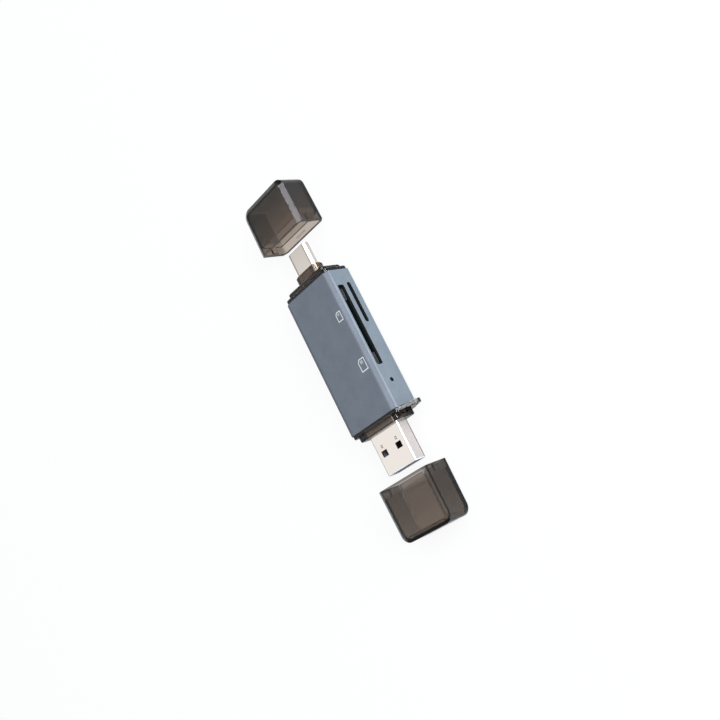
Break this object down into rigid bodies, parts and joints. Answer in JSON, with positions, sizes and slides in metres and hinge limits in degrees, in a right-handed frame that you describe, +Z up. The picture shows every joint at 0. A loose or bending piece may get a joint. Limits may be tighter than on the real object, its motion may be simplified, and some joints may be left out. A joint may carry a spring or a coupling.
{
  "type": "card reader",
  "caption": "Stick-shaped memory card reader: satin metal sleeve with two card slots in one long side, a flat plug and an oval plug at its ends, and two smoky pull-off caps.",
  "frame": {"origin": "bottom centre of the whole set's bounding box, on the surface it lies on, with both caps off in line with the reader", "axes": "+X along the sleeve towards the small oval plug, -Y out of the side with the card slots, +Z up out of the printed broad face"},
  "size_m": [0.1088, 0.024, 0.01],
  "materials": {
    "anodised_sleeve": "anodised blue-grey, fine satin",
    "smoky_plastic": "smoky clear, polished",
    "nickel_shell": "nickel plated, bright satin",
    "spring_steel": "satin",
    "black_plastic": "matte",
    "blue_plastic": "matte",
    "gold_contact": "gold plated",
    "board_laminate": "solder resist, semi-gloss",
    "chip_epoxy": "matte",
    "tinned_lead": "tin plated",
    "crystal_metal": "satin",
    "capacitor_ceramic": "ceramic",
    "resistor_glaze": "glazed",
    "led_package": "gloss",
    "clear_plastic": "clear, polished",
    "carrier_plastic": "matte"
  },
  "bodies": {
    "reader": {"capacitor_1": "capacitor_ceramic", "capacitor_2": "capacitor_ceramic", "capacitor_3": "capacitor_ceramic", "capacitor_4": "capacitor_ceramic", "capacitor_5": "capacitor_ceramic", "capacitor_6": "capacitor_ceramic", "circuit_board": "board_laminate", "controller_chip": "chip_epoxy", "controller_pads": "tinned_lead", "crystal_can": "crystal_metal", "housing_sleeve": "anodised_sleeve", "inner_carrier": "carrier_plastic", "light_guide": "clear_plastic", "regulator_leads": "tinned_lead", "resistor_1": "resistor_glaze", "resistor_2": "resistor_glaze", "resistor_3": "resistor_glaze", "resistor_4": "resistor_glaze", "small_card_contacts": "gold_contact", "small_card_cover": "spring_steel", "small_card_frame": "black_plastic", "status_led": "led_package", "type_a_end_piece": "smoky_plastic", "type_a_front_contacts": "gold_contact", "type_a_rear_contacts": "gold_contact", "type_a_shell": "nickel_shell", "type_a_tongue": "blue_plastic", "type_c_end_piece": "smoky_plastic", "type_c_insulator": "black_plastic", "type_c_latch_spring": "spring_steel", "type_c_lower_contacts": "gold_contact", "type_c_shell": "nickel_shell", "type_c_upper_contacts": "gold_contact", "voltage_regulator": "chip_epoxy", "wide_card_contacts": "gold_contact", "wide_card_cover": "spring_steel", "wide_card_frame": "black_plastic", "wide_card_guides": "spring_steel"},
    "flat_plug_cap": {"type_a_cap": "smoky_plastic"},
    "oval_plug_cap": {"type_c_cap": "smoky_plastic"}
  },
  "joints": [
    {"name": "flat_plug_cap_slide", "type": "slide", "parent": "reader", "child": "flat_plug_cap", "axis": [1, 0, 0], "range_m": [0, 0.0161]},
    {"name": "oval_plug_cap_slide", "type": "slide", "parent": "reader", "child": "oval_plug_cap", "axis": [-1, 0, 0], "range_m": [0, 0.01555]}
  ]
}
